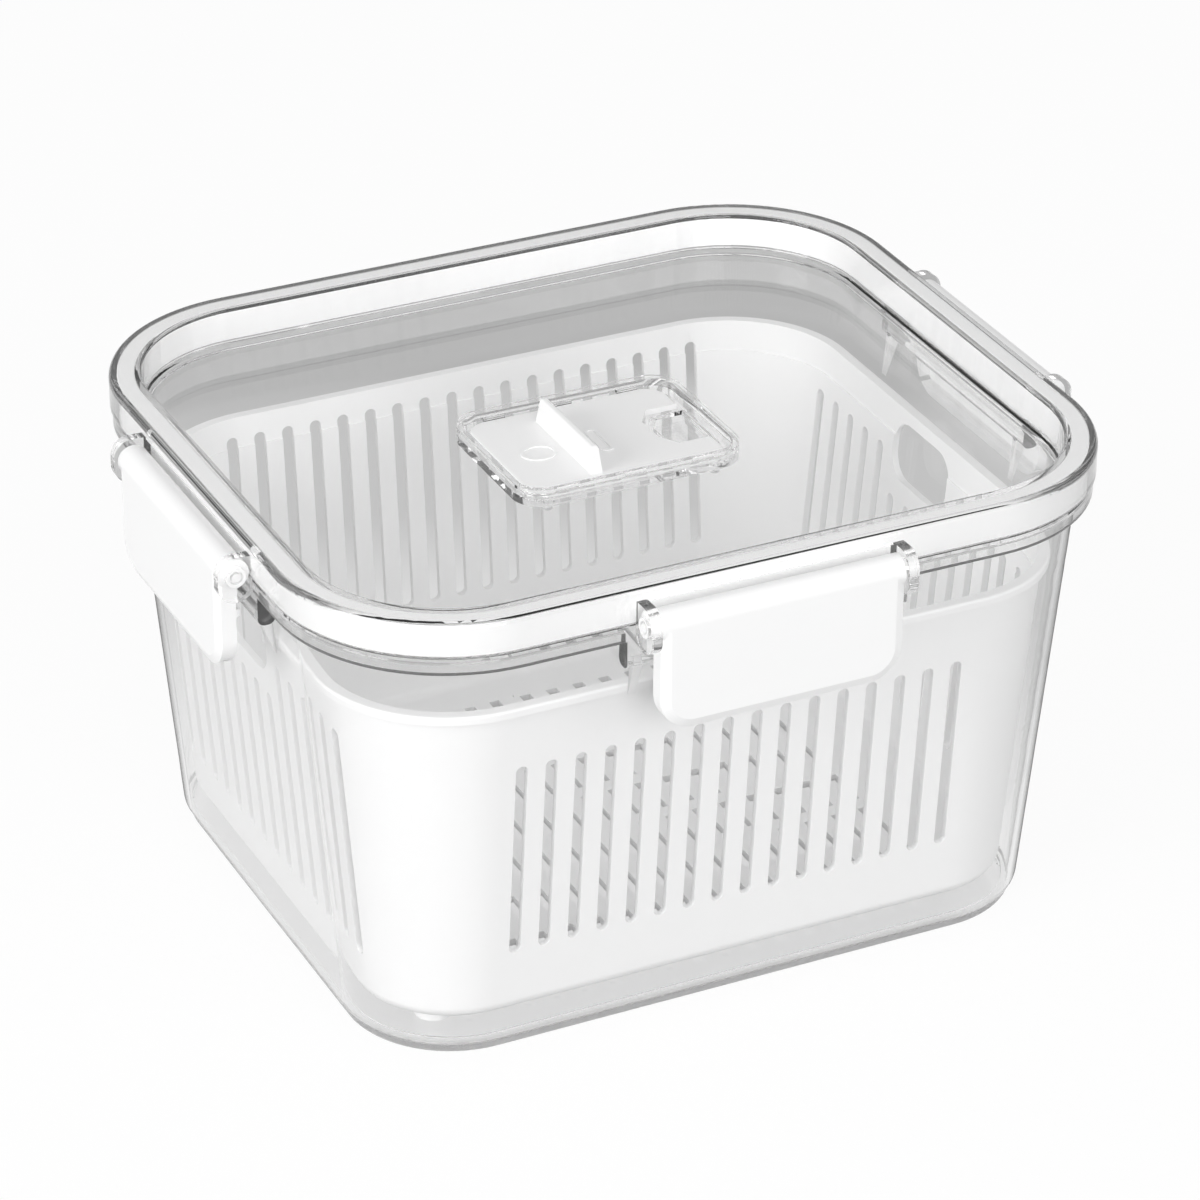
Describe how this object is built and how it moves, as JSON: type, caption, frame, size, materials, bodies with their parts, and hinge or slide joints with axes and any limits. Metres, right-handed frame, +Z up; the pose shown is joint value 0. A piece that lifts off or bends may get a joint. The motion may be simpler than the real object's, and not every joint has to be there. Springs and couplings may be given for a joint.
{
  "type": "airtight container with drain basket",
  "caption": "Clear lidded food container with a white slotted drain basket, side latches, a lid seal and a sliding vent.",
  "frame": {"origin": "centre of the tub's flat underside, on the surface that it stands on", "axes": "+X along the long sides, -Y towards the front, +Z up"},
  "size_m": [0.2372, 0.2006, 0.1315],
  "materials": {
    "clear_plastic": "clear, polished",
    "white_plastic": "satin",
    "white_silicone": "matte, soft"
  },
  "bodies": {
    "container": {"container": "clear_plastic"},
    "basket": {"basket": "white_plastic"},
    "lid": {"lid": "clear_plastic", "lid_seal": "white_silicone", "vent_seal": "white_silicone"},
    "latch_front": {"latch_front": "white_plastic"},
    "latch_left": {"latch_left": "white_plastic"},
    "latch_right": {"latch_right": "white_plastic"},
    "vent_slider": {"vent_slider": "white_plastic"}
  },
  "joints": [
    {"name": "basket_lift", "type": "slide", "parent": "container", "child": "basket", "axis": [0, 0, 1], "range_m": [0, 0.125]},
    {"name": "lid_lift", "type": "slide", "parent": "basket", "child": "lid", "axis": [0, 0, 1], "range_m": [0, 0.06]},
    {"name": "latch_front_hinge", "type": "hinge", "parent": "lid", "child": "latch_front", "pos_m": [0, -0.0998, 0.123], "axis": [-1, 0, 0], "range_deg": [-6, 105]},
    {"name": "latch_left_hinge", "type": "hinge", "parent": "lid", "child": "latch_left", "pos_m": [-0.1138, 0, 0.123], "axis": [0, 1, 0], "range_deg": [-6, 105]},
    {"name": "latch_right_hinge", "type": "hinge", "parent": "lid", "child": "latch_right", "pos_m": [0.1138, 0, 0.123], "axis": [0, -1, 0], "range_deg": [-6, 105]},
    {"name": "vent_slide", "type": "slide", "parent": "lid", "child": "vent_slider", "axis": [1, 0, 0], "range_m": [-0.0019, 0.0019]}
  ]
}
